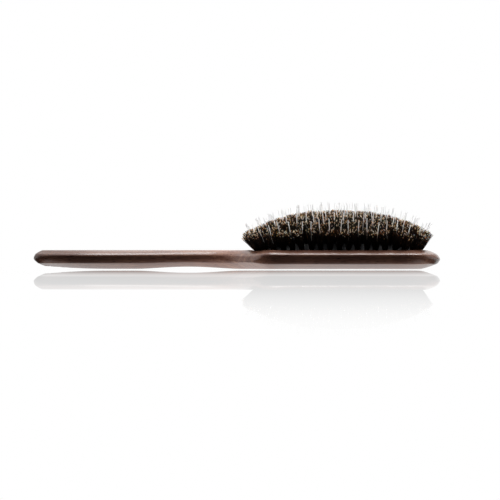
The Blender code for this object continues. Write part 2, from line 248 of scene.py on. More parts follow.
def colour(hex_code: str) -> tuple[float, float, float, float]:
    """An sRGB hex colour as linear red, green, blue and alpha."""
    parts = np.array([int(hex_code[i : i + 2], 16) / 255 for i in (1, 3, 5)])
    linear = np.where(parts <= 0.04045, parts / 12.92, ((parts + 0.055) / 1.055) ** 2.4)
    return (*linear.tolist(), 1.0)


def per_metre(size_mm: float) -> float:
    """Texture scale at which one feature measures size_mm."""
    return 1 / (size_mm * MM)


def spanned(
    value: bpy.types.NodeSocket, low: float, high: float, to_low: float = 0.0, to_high: float = 1.0
) -> dict[str, Any]:
    """Inputs of a Map Range node that turns the span from low to high into that from to_low to to_high."""
    return {"Value": value, "From Min": low, "From Max": high, "To Min": to_low, "To Max": to_high}


def add_node(
    tree: bpy.types.NodeTree,
    kind: str,
    inputs: dict[str | int, Any] | None = None,
    out: str | int = 0,
    **settings: Any,
) -> bpy.types.NodeSocket | None:
    """Add one node to a shader tree.

    Args:
        tree: The node tree.
        kind: The node's type name after its first word, ShaderNode.
        inputs: Input sockets by name or number: an output socket is linked, anything else is set.
        out: The output socket to give back, by name or number.
        settings: Attributes of the node. The name stops sets a colour ramp's (position, colour) stops.

    Returns:
        The output socket, or None for a node that has none.
    """
    node = tree.nodes.new("ShaderNode" + kind)
    for key, value in settings.items():
        if key == "stops":
            ramp = node.color_ramp.elements
            while len(ramp) < len(value):
                ramp.new(0.5)
            for element, (position, stop) in zip(ramp, value):
                element.position = position
                element.color = stop
        else:
            setattr(node, key, value)
    for key, value in (inputs or {}).items():
        if isinstance(value, bpy.types.NodeSocket):
            tree.links.new(value, node.inputs[key])
        else:
            node.inputs[key].default_value = value
    return node.outputs[out] if len(node.outputs) else None


def new_material(name: str) -> tuple[bpy.types.Material, Callable[..., Any]]:
    """A material without nodes, and add_node for its tree."""
    made = bpy.data.materials.new(name)
    made.use_nodes = True
    made.node_tree.nodes.clear()
    return made, partial(add_node, made.node_tree)


@dataclass(frozen=True)
class LacqueredWalnut:
    """Dark walnut, sanded and sprayed with clear lacquer: long streaks and pores under a smooth gloss."""

    dark: str = "#714839"
    middle: str = "#895d4c"
    pale: str = "#a7795f"
    pore: str = "#4f3025"
    streak_mm: float = 2.6
    fleck_mm: float = 0.55
    # Pores of walnut are about 0.2 mm wide. They are drawn coarser, so that they show from a step away.
    pore_mm: float = 0.45
    stretch: float = 12.0
    half_length: float = 121.5 * MM
    # Painted light and shade along the board, brighter at the neck where more light falls and dimmer
    # towards the butt and over the head: share of the length from the butt, and brightness.
    painted_light_zones: tuple[Pair, ...] = (
        (0.0, 0.6),
        (0.2, 0.85),
        (0.36, 1.0),
        (0.46, 1.25),
        (0.54, 1.25),
        (0.6, 0.85),
        (0.75, 0.78),
        (1.0, 0.85),
    )

    def make(self) -> bpy.types.Material:
        """Streaks and flecks of three browns drawn out along the handle, dark pores, painted light and
        shade along the board, and a clear coat.
        """
        made, add = new_material("lacquered_walnut")
        place = add("TexCoord", out="Object")
        along = add("Mapping", {"Vector": place, "Scale": (1 / self.stretch, 1, 1)})
        streak, fleck, pores = (
            add("TexNoise", {"Vector": along, "Scale": per_metre(size_mm), **grain})
            for size_mm, grain in (
                (self.streak_mm, {"Detail": 5.0, "Distortion": 0.4}),
                (self.fleck_mm, {"Detail": 3.0, "Roughness": 0.6}),
                (self.pore_mm, {"Detail": 1.0}),
            )
        )
        figure = add("Mix", {"Factor": 0.45, 2: streak, 3: fleck}, data_type="FLOAT")
        stops = [(0.36, colour(self.dark)), (0.5, colour(self.middle)), (0.66, colour(self.pale))]
        browns = add("ValToRGB", {"Fac": figure}, stops=stops)
        pore_mask = add("MapRange", spanned(pores, 0.62, 0.7))
        with_pores = {"Factor": pore_mask, 6: browns, 7: colour(self.pore)}
        even_wood = add("Mix", with_pores, 2, data_type="RGBA")
        x = add("SeparateXYZ", {"Vector": place}, "X")
        share = add("MapRange", spanned(x, -self.half_length, self.half_length))
        # Painted light and shade along the board. A ramp holds levels up to 1, so the painted light's
        # levels are halved in it and doubled after it.
        painted_light_halves = [(position, (painted_light / 2, painted_light / 2, painted_light / 2, 1.0)) for position, painted_light in self.painted_light_zones]
        half_painted_light = add("ValToRGB", {"Fac": share}, stops=painted_light_halves)
        painted_light = add("VectorMath", {0: half_painted_light, "Scale": 2.0}, operation="SCALE")
        # The wood's colour times the painted light and shade along the board.
        wood = add("VectorMath", {0: even_wood, 1: painted_light}, operation="MULTIPLY")
        sunk = {"Strength": 0.12, "Distance": 0.05 * MM, "Height": pore_mask}
        look = {
            "Base Color": wood,
            "Roughness": 0.45,
            "IOR": 1.45,
            "Specular IOR Level": 0.2,
            "Normal": add("Bump", sunk, invert=True),
            "Coat Weight": 0.9,
            "Coat Roughness": 0.2,
            "Coat IOR": 1.5,
        }
        add("OutputMaterial", {"Surface": add("BsdfPrincipled", look)})
        return made


@dataclass(frozen=True)
class MouldedRubber:
    """Black rubber from a blasted mould: matt, faintly dusty, with a fine even grain."""

    black: str = "#2a2b2d"
    dusty: str = "#434548"
    # A blasted mould's grain is about 0.1 mm. It is drawn coarser, so that it shows from a step away.
    grain_mm: float = 0.35
    dust_mm: float = 6.0

    def make(self) -> bpy.types.Material:
        """Two near-blacks in soft patches, with a fine grain in the bump and the roughness."""
        made, add = new_material("moulded_black_rubber")
        place = add("TexCoord", out="Object")
        dust = add("TexNoise", {"Vector": place, "Scale": per_metre(self.dust_mm), "Detail": 3.0})
        grain = add("TexNoise", {"Vector": place, "Scale": per_metre(self.grain_mm), "Detail": 2.0})
        stops = [(0.35, colour(self.black)), (0.75, colour(self.dusty))]
        look = {
            "Base Color": add("ValToRGB", {"Fac": dust}, stops=stops),
            "Roughness": add("MapRange", {"Value": grain, "To Min": 0.5, "To Max": 0.75}),
            "IOR": 1.52,
            "Normal": add("Bump", {"Strength": 0.25, "Distance": 0.06 * MM, "Height": grain}),
        }
        add("OutputMaterial", {"Surface": add("BsdfPrincipled", look)})
        return made


@dataclass(frozen=True)
class BoarBristle:
    """Natural boar bristle: near-black shafts whose worn, split tips run from brown to straw."""

    shaft: str = "#0c0a09"
    shaft_brown: str = "#1d1410"
    tips: tuple[tuple[float, str], ...] = (
        (0.0, "#0d0a09"),
        (0.72, "#1a110c"),
        (0.77, "#92583a"),
        (0.82, "#dfae7c"),
        (0.89, "#ffe0c0"),
        (1.0, "#fff6ec"),
    )
    tip_span: Pair = (0.92, 0.96)

    def make(self) -> bpy.types.Material:
        """Shaft and tip colours chosen for each bristle by its own tint, blended along its length."""
        made, add = new_material("boar_bristle")
        strand = add("UVMap", uv_map="strand")
        tint, along = (add("SeparateXYZ", {"Vector": strand}, axis) for axis in "XY")
        shafts = [(0.5, colour(self.shaft)), (1.0, colour(self.shaft_brown))]
        shaft = add("ValToRGB", {"Fac": tint}, stops=shafts)
        tips = [(position, colour(code)) for position, code in self.tips]
        tip = add("ValToRGB", {"Fac": tint}, stops=tips)
        worn = add("MapRange", spanned(along, *self.tip_span), interpolation_type="SMOOTHSTEP")
        look = {
            "Base Color": add("Mix", {"Factor": worn, 6: shaft, 7: tip}, 2, data_type="RGBA"),
            "Roughness": 0.5,
            "IOR": 1.55,
            "Specular IOR Level": 0.25,
            "Subsurface Weight": 1.0,
            "Subsurface Radius": (1.0, 0.8, 0.6),
            "Subsurface Scale": 0.5 * MM,
        }
        add("OutputMaterial", {"Surface": add("BsdfPrincipled", look)})
        return made


@dataclass(frozen=True)
class ClearNylon:
    """Drawn nylon monofilament: clear with a milky cast, smooth, with melted round tips."""

    clear: str = "#ffffff"
    milky: str = "#f6f6f6"
    # Strength of the painted glow that brightens the quills.
    painted_glow: float = 0.055
    draw_mm: float = 2.5

    def make(self) -> bpy.types.Material:
        """A rough glass whose tint and haze vary along each quill.

        Each quill also has a faint painted glow, a light of its own, so that it shows brighter against the
        dark tufts.

        Returns:
            The material.
        """
        made, add = new_material("clear_nylon")
        place = add("TexCoord", out="Object")
        haze = add("TexNoise", {"Vector": place, "Scale": per_metre(self.draw_mm), "Detail": 2.0})
        stops = [(0.35, colour(self.clear)), (0.7, colour(self.milky))]
        look = {
            "Base Color": add("ValToRGB", {"Fac": haze}, stops=stops),
            "Roughness": add("MapRange", {"Value": haze, "To Min": 0.85, "To Max": 1.0}),
            "IOR": 1.53,
            "Transmission Weight": 0.7,
            "Emission Color": colour(self.clear),
            "Emission Strength": self.painted_glow,
        }
        add("OutputMaterial", {"Surface": add("BsdfPrincipled", look)})
        return made


@dataclass(frozen=True)
class TinnedWire:
    """Drawn steel wire with a tin skin: dull silver with fine marks along it."""

    bright: str = "#b9babd"
    dull: str = "#85878b"
    mark_mm: float = 0.8

    def make(self) -> bpy.types.Material:
        """Two silvers and a changing roughness in small patches."""
        made, add = new_material("tinned_steel_wire")
        place = add("TexCoord", out="Object")
        marks = add("TexNoise", {"Vector": place, "Scale": per_metre(self.mark_mm), "Detail": 3.0})
        stops = [(0.35, colour(self.dull)), (0.65, colour(self.bright))]
        look = {
            "Base Color": add("ValToRGB", {"Fac": marks}, stops=stops),
            "Roughness": add("MapRange", {"Value": marks, "To Min": 0.25, "To Max": 0.45}),
            "Metallic": 1.0,
        }
        add("OutputMaterial", {"Surface": add("BsdfPrincipled", look)})
        return made


def settle(piece: bpy.types.Object, finish: bpy.types.Material, body: str, slot: Slot, *nodes: str) -> None:
    """Give a new piece its finish and its body, and hide the nodes that it stands for.

    Args:
        piece: The new piece.
        finish: Its material.
        body: The body that it moves with.
        slot: The record's slot for its finish; not used.
        nodes: The nodes that it replaces.
    """
    piece.data.materials.append(finish)
    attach(piece, body)
    if nodes:
        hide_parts(*nodes)
    log.info("%s: %d faces on %s", piece.name, len(piece.data.polygons), body)


# Pad outline and dome


@dataclass(frozen=True)
class PadShape:
    """The cushion pad's outline and dome. Plan places are measured from the head's centre."""

    half_length: float = 51.0 * MM
    half_width: float = 29.7 * MM
    corner: float = 16.0 * MM
    ring_corner: float = 3.0 * MM
    thickness: float = 1.5 * MM
    edge_z: float = 8.45 * MM
    rise: float = 12.55 * MM
    power: float = 2.55
    squareness: float = 5.0
    margin: float = 0.6 * MM
    flange: float = 2.0 * MM
    seat_gap: float = 0.3 * MM

    @property
    def centre_x(self) -> float:
        """Where the head's centre lies along the brush."""
        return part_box("paddle_body")[1].x - HEAD_LENGTH / 2

    def contour_size(self, inset: float) -> Triple:
        """Half length, half width and corner radius of the outline moved in by inset."""
        half_width = self.half_width - inset
        radius = max(self.corner - inset, min(self.ring_corner, half_width))
        return self.half_length - inset, half_width, radius

    def half_round(self, inset: float) -> float:
        """Length of half of a contour, from its +X end to its -X end."""
        half_length, half_width, radius = self.contour_size(inset)
        return 2 * (half_length + half_width) - (4 - math.pi) * radius

    def contour(self, inset: float, distance: np.ndarray) -> tuple[np.ndarray, np.ndarray]:
        """Places and outward directions on the outline moved in by inset.

        A place is a point of the inner box of corner centres plus the corner radius along the outward
        direction, which turns a quarter at each corner.

        Args:
            inset: How far the contour lies inside the outline.
            distance: Distances round it, from its +X end towards +Y.

        Returns:
            The places and the outward directions, each with a last axis of 2.
        """
        half_length, half_width, radius = self.contour_size(inset)
        end = half_width - radius
        side = 2 * (half_length - radius)
        corner = radius * math.pi / 2
        half = self.half_round(inset)
        wrapped = np.mod(distance, 2 * half)
        turn = np.where(wrapped > half, -1.0, 1.0)
        d = np.where(wrapped > half, 2 * half - wrapped, wrapped)
        bend = np.clip(d - end, 0, corner) + np.clip(d - end - corner - side, 0, corner)
        angle = bend / max(radius, 1e-9)
        out = np.stack([np.cos(angle), turn * np.sin(angle)], axis=-1)
        core_x = half_length - radius - np.clip(d - end - corner, 0, side)
        core_y = np.clip(d, 0, end) - np.clip(d - (half - end), 0, end)
        return np.stack([core_x, turn * core_y], axis=-1) + radius * out, out

    def top(self, place: np.ndarray) -> np.ndarray:
        """Height of the pad's outer face: edge + rise (1 - reach^power), reach being a rounded-box norm."""
        along = np.abs(place[..., 0]) / (self.half_length - self.margin)
        across = np.abs(place[..., 1]) / (self.half_width - self.margin)
        reach = (along**self.squareness + across**self.squareness) ** (1 / self.squareness)
        return self.edge_z + self.rise * (1 - np.minimum(reach, 1) ** self.power)

    def in_brush(self, place: np.ndarray, z: np.ndarray | float) -> np.ndarray:
        """Plan places at height z, in the brush's own frame."""
        height = np.broadcast_to(z, place.shape[:-1])
        return np.stack([place[..., 0] + self.centre_x, place[..., 1], height], axis=-1)


# Wooden paddle


@dataclass(frozen=True)
class EdgeShape:
    """One cross-section of the paddle's edge, measured in from the outline and up from the flat back."""

    thickness: float = 11.3 * MM
    back_bevel: float = 14.0 * MM
    face_bevel: float = 7.8 * MM
    lower_arris: Pair = (1.3 * MM, 3.45 * MM)
    widest_z: float = 6.6 * MM
    side_top: Pair = (0.2 * MM, 8.15 * MM)
    upper_arris: Pair = (1.55 * MM, 9.25 * MM)
    back_pull: float = 2.5 * MM
    lower_pull: Pair = (-0.25 * MM, 0.2 * MM)
    widest_pull_share: float = 0.25
    side_pull: float = 0.48 * MM
    upper_pull: Pair = (0.5 * MM, 0.34 * MM)
    face_pull_share: float = 0.3
    steps: tuple[int, ...] = (14, 9, 6, 8, 12)

    def line(self) -> np.ndarray:
        """The edge as (inset, z): back, lower arris, widest point, top of the side, upper arris, face."""
        rise = self.upper_arris[1] - self.widest_z
        steepness = math.atan2(rise, self.upper_arris[0])
        side_pull = (self.side_pull * math.cos(steepness), self.side_pull * math.sin(steepness))
        widest_pull = self.widest_pull_share * (self.widest_z - self.lower_arris[1])
        face_pull = self.face_pull_share * (self.face_bevel - self.upper_arris[0])
        knots = [
            Knot(self.back_bevel, 0, -self.back_pull, 0),
            Knot(*self.lower_arris, *self.lower_pull),
            Knot(0, self.widest_z, 0, widest_pull),
            Knot(*self.side_top, *side_pull),
            Knot(*self.upper_arris, *self.upper_pull),
            Knot(self.face_bevel, self.thickness, face_pull, 0),
        ]
        return bezier_line(knots, self.steps)[0]


@dataclass
class Paddle:
    """The one-piece wooden head and handle, with the seat and the air chamber for the pad."""

    pad: PadShape
    head_corner: float = 25.0 * MM
    shoulder_from_head: float = 5.6 * MM
    shoulder_half_width: float = 27.0 * MM
    shoulder_angle: float = math.radians(52)
    shoulder_pull: float = 7.0 * MM
    shoulder_corner: float = 22.0 * MM
    shoulder_corner_pull: float = 8.0 * MM
    neck_half_width: float = 9.5 * MM
    neck_pull: float = 16.0 * MM
    neck_before_head: float = 20.0 * MM
    handle_half_width: float = 13.0 * MM
    butt_pull: float = 9.0 * MM
    belly_from_butt: float = 36.0 * MM
    belly_pull: float = 20.0 * MM
    edge: EdgeShape = EdgeShape()
    butt_edge: EdgeShape = EdgeShape(
        back_bevel=8.6 * MM,
        face_bevel=6.4 * MM,
        lower_arris=(3.6 * MM, 2.9 * MM),
        widest_z=6.1 * MM,
        side_top=(0.35 * MM, 7.7 * MM),
        upper_arris=(1.5 * MM, 9.25 * MM),
    )
    neck_edge: EdgeShape = EdgeShape(
        face_bevel=14.5 * MM,
        lower_arris=(0.4 * MM, 4.0 * MM),
        widest_z=4.5 * MM,
        side_top=(2.0 * MM, 7.5 * MM),
        upper_arris=(4.4 * MM, 9.1 * MM),
    )
    head_edge: EdgeShape = EdgeShape(
        lower_arris=(1.3 * MM, 3.05 * MM),
        side_top=(0.2 * MM, 8.4 * MM),
        upper_arris=(1.5 * MM, 9.5 * MM),
    )
    end_edge: EdgeShape = EdgeShape(
        back_bevel=12.0 * MM,
        face_bevel=8.4 * MM,
        lower_arris=(1.6 * MM, 3.25 * MM),
        widest_z=5.8 * MM,
        side_top=(0.5 * MM, 7.1 * MM),
        upper_arris=(1.9 * MM, 8.8 * MM),
    )
    butt_round: float = 14.0 * MM
    neck_edge_span: Pair = (-16.0 * MM, 4.0 * MM)
    head_edge_span: Pair = (6.0 * MM, 17.0 * MM)
    end_round: float = 12.0 * MM
    handle_edge_scale: float = 0.9
    neck_edge_scale: float = 0.63
    edge_growth: float = 40.0 * MM
    waist_lift: float = 1.3 * MM
    waist_from_butt: float = 93.0 * MM
    waist_reach: float = 32.0 * MM
    butt_lift: float = 2.4 * MM
    butt_reach: float = 46.0 * MM
    mouth_round: float = 0.8 * MM
    chamber_ledge: float = 0.8 * MM
    chamber_floor_z: float = 2.2 * MM
    quarter_circle: float = 0.5523
    face_stretch_from: float = -40.0 * MM
    outline_steps: tuple[int, ...] = (36, 40, 28, 30, 30, 30, 12)
    flat_steps: int = 8
    mouth_round_steps: int = 6
    mouth_samples: int = 1441
    butt_x: float = field(init=False)
    head_end: float = field(init=False)

    def __post_init__(self) -> None:
        """Take the two ends of the paddle from the frame."""
        low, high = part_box("paddle_body")
        self.butt_x = low.x
        self.head_end = high.x

    def outline(self) -> tuple[np.ndarray, np.ndarray]:
        """The outline from the butt to the head's end on the side y >= 0, and the directions inwards."""
        start = self.head_end - HEAD_LENGTH
        half = HEAD_WIDTH / 2
        corner_pull = self.head_corner * self.quarter_circle
        knots = [
            Knot(self.butt_x, 0, 0, self.butt_pull),
            Knot(self.butt_x + self.belly_from_butt, self.handle_half_width, self.belly_pull, 0),
            Knot(start - self.neck_before_head, self.neck_half_width, self.neck_pull, 0),
            Knot(
                start + self.shoulder_from_head,
                self.shoulder_half_width,
                self.shoulder_pull * math.cos(self.shoulder_angle),
                self.shoulder_pull * math.sin(self.shoulder_angle),
            ),
            Knot(start + self.shoulder_corner, half, self.shoulder_corner_pull, 0),
            Knot(self.head_end - self.head_corner, half, corner_pull, 0),
            Knot(self.head_end, half - self.head_corner, 0, -corner_pull),
            Knot(self.head_end, 0, 0, -corner_pull),
        ]
        points, directions = bezier_line(knots, self.outline_steps)
        inward = np.stack([directions[:, 1], -directions[:, 0]], axis=1)
        return points, inward

    def edge_lines(self, outline: np.ndarray) -> np.ndarray:
        """The edge's (inset, z) line at each outline point.

        The handle's edge turns by weights into those of the butt, the neck, the head and the head's end.
        Its width follows the handle's and then grows over the head.

        Args:
            outline: The outline's points, as n x 2.

        Returns:
            The lines, as n x points x 2.
        """
        head_start = self.head_end - HEAD_LENGTH
        neck_x = head_start - self.neck_before_head
        x = outline[:, 0, None, None]
        at_butt = np.maximum(0, 1 - (x - self.butt_x) / self.butt_round) ** 2
        past_handle = smooth_step(x - head_start, *self.neck_edge_span)
        past_neck = smooth_step(x - head_start, *self.head_edge_span)
        at_end = smooth_step(x, self.head_end - self.end_round, self.head_end)
        plain = self.edge.line()
        lines = plain
        for weight, other in (
            (at_butt, self.butt_edge),
            (past_handle * (1 - past_neck), self.neck_edge),
            (past_neck * (1 - at_end), self.head_edge),
            (at_end, self.end_edge),
        ):
            lines = lines + weight * (other.line() - plain)
        narrowing = smooth_step(x, self.butt_x + self.belly_from_butt, neck_x)
        growing = smooth_step(x, head_start, head_start + self.edge_growth)
        scale = self.handle_edge_scale + (self.neck_edge_scale - self.handle_edge_scale) * narrowing
        scale = scale + (1 - self.neck_edge_scale) * growing
        return lines * np.concatenate([scale, np.ones_like(scale)], axis=-1)

    def lift(self, x: np.ndarray, z: np.ndarray) -> np.ndarray:
        """How far the underside is raised: (1 - u^2)^2 round the waist, and (1 - v)^2 towards the butt.

        The waist's lift fades out at the widest height, and the butt's at the lower arris.

        Args:
            x: Places along the brush.
            z: Heights before the lift.

        Returns:
            The lift at each place.
        """
        from_butt = x - self.butt_x
        waist = np.maximum(0, 1 - ((from_butt - self.waist_from_butt) / self.waist_reach) ** 2) ** 2
        butt = np.maximum(0, 1 - from_butt / self.butt_reach) ** 2
        waist = self.waist_lift * waist * np.maximum(0, 1 - z / self.edge.widest_z)
        return waist + self.butt_lift * butt * np.maximum(0, 1 - z / self.edge.lower_arris[1])

    def skin(self) -> tuple[np.ndarray, int]:
        """The outer skin of the half paddle, from the back's centre line round the edge to the face.

        Each column is the edge section pushed in from one outline point. The flat back runs on to the
        centre line, and the flat face to the centre line of the handle or to the pad's mouth.

        Returns:
            The grid of points, and the number of the first column that ends at the mouth.
        """
        outline, inward = self.outline()
        lines = self.edge_lines(outline)
        head_start = self.head_end - HEAD_LENGTH
        plan = outline[:, None, :] + inward[:, None, :] * lines[..., :1]
        plan[..., 1] = np.maximum(plan[..., 1], 0)
        edge = self.cut_at_mouth(np.concatenate([plan, lines[..., 1:]], axis=-1))

        face_line = edge[:, -1, :2]
        mouth_left = self.pad.centre_x - self.pad.half_length - self.mouth_round
        split = int(np.argmax(face_line[:, 0] > head_start))
        neck = int(np.argmax(outline[:, 0] > head_start - self.neck_before_head))
        back_x = plan[:, 0, 0].copy()
        back_x[neck:] = np.interp(along_length(plan[neck:, 0]), [0, 1], back_x[[neck, -1]])
        # The handle's centre line is stretched, so that its last column meets the mouth's handle end.
        drawn_x = [self.butt_x, self.face_stretch_from, face_line[split, 0]]
        centre_x = [self.butt_x, self.face_stretch_from, mouth_left]
        face_end = np.zeros_like(face_line)
        face_end[: split + 1, 0] = np.interp(face_line[: split + 1, 0], drawn_x, centre_x)
        face_end[split:] = self.mouth(self.mouth_shares(face_line[split:]), -self.mouth_round)

        across = np.linspace(0, 1, self.flat_steps + 1)[None, :, None]
        back_centre = np.stack([back_x, np.zeros_like(back_x)], axis=1)
        back = back_centre[:, None] * (1 - across[:, :-1]) + plan[:, :1] * across[:, :-1]
        back = np.concatenate([back, np.zeros(back.shape[:2] + (1,))], axis=-1)
        face = face_line[:, None] * (1 - across[:, 1:]) + face_end[:, None] * across[:, 1:]
        face_z = np.broadcast_to(edge[:, -1:, 2:], face.shape[:2] + (1,))
        face = np.concatenate([face, face_z], axis=-1)
        grid = np.concatenate([back, edge, face], axis=1)
        grid[..., 2] += self.lift(grid[..., 0], grid[..., 2])
        return grid, split

    def cut_at_mouth(self, edge: np.ndarray) -> np.ndarray:
        """Edge sections that stop where they meet the mouth's rounded rim.

        Two corners of the mouth reach into the bevel. There a section's points past the rim move back to
        where it crosses the rim, found by the points' distances from the mouth's rounded box.

        Args:
            edge: The sections, as columns x points x 3.

        Returns:
            The cut sections.
        """
        core = np.array([self.pad.half_length, self.pad.half_width]) - self.pad.corner
        beyond = np.abs(edge[..., :2] - np.array([self.pad.centre_x, 0])) - core
        outside = np.linalg.norm(np.maximum(beyond, 0), axis=-1) + np.minimum(beyond.max(axis=-1), 0)
        gap = outside - self.pad.corner - self.mouth_round
        past_rim = (edge[..., 2] > self.edge.widest_z) & (gap < 0)
        cut = edge.copy()
        for column in np.flatnonzero(past_rim[:, -1]):
            first = int(np.argmax(past_rim[column]))
            before, after = gap[column, first - 1], gap[column, first]
            step = edge[column, first] - edge[column, first - 1]
            cut[column, first:] = edge[column, first - 1] + step * before / (before - after)
        return cut

    def mouth(self, share: np.ndarray, inset: float) -> np.ndarray:
        """Plan places round half of the pad's mouth moved in by inset, from its handle end (share 0)."""
        distance = (1 - share) * self.pad.half_round(0)
        place, out = self.pad.contour(0, distance)
        return place - out * inset + np.array([self.pad.centre_x, 0])

    def mouth_shares(self, line: np.ndarray) -> np.ndarray:
        """Shares of the half mouth that lie nearest to a plan line's points, from 0 at its start to 1."""
        share = np.linspace(0, 1, self.mouth_samples)
        place = self.mouth(share, -self.mouth_round)
        gap = np.linalg.norm(line[:, None] - place, axis=-1)
        nearest = share[np.argmin(gap, axis=1)]
        nearest[[0, -1]] = 0, 1
        return np.maximum.accumulate(nearest)

    def seat(self, share: np.ndarray, top: np.ndarray) -> np.ndarray:
        """The half seat: a rounded mouth, the flange's groove, the chamber's wall and its floor.

        Args:
            share: Shares of the half mouth, one for each column.
            top: The height of the wood at the mouth, one for each column.

        Returns:
            The grid of points.
        """
        pad = self.pad
        arc = np.linspace(0, math.pi / 2, self.mouth_round_steps + 1)
        groove_low = pad.edge_z - pad.thickness - pad.seat_gap
        groove_high = pad.edge_z + pad.seat_gap
        groove = -pad.flange - pad.seat_gap
        insets = [*(-self.mouth_round * (1 - np.sin(arc))), 0.0, groove, groove]
        insets += [self.chamber_ledge, self.chamber_ledge]
        heights = [top - self.mouth_round * (1 - math.cos(turn)) for turn in arc]
        heights += [groove_high, groove_high, groove_low, groove_low, self.chamber_floor_z]
        rows = []
        for inset, z in zip(insets, heights):
            rows.append(np.column_stack([self.mouth(share, inset), np.broadcast_to(z, share.shape)]))
        reach = pad.half_length - pad.half_width
        centre_x = pad.centre_x + np.interp(share, [0, 1], [-reach, reach])
        floor_z = np.full_like(share, self.chamber_floor_z)
        rows.append(np.column_stack([centre_x, np.zeros_like(share), floor_z]))
        return np.stack(rows, axis=1)

    def build(self) -> bpy.types.Object:
        """The whole paddle as one closed skin."""
        skin, split = self.skin()
        face_line = skin[split:, -self.flat_steps - 1]
        seat = self.seat(self.mouth_shares(face_line[:, :2]), face_line[:, 2])
        half = Surface.grid(skin).joined(Surface.grid(seat))
        return half.mirrored().to_object("walnut_paddle", Shading.CRISP, weld=WELD)

    def dress(self, piece: bpy.types.Object) -> None:
        """Lacquered walnut, riding on the paddle."""
        settle(piece, LacqueredWalnut().make(), "paddle", Slot.WALNUT, "paddle_body")


# Bristle bed


@dataclass(frozen=True)
class BedLine:
    """One line of tufts: its body's name and where each tuft stands."""

    body: str
    place: np.ndarray
    out: np.ndarray


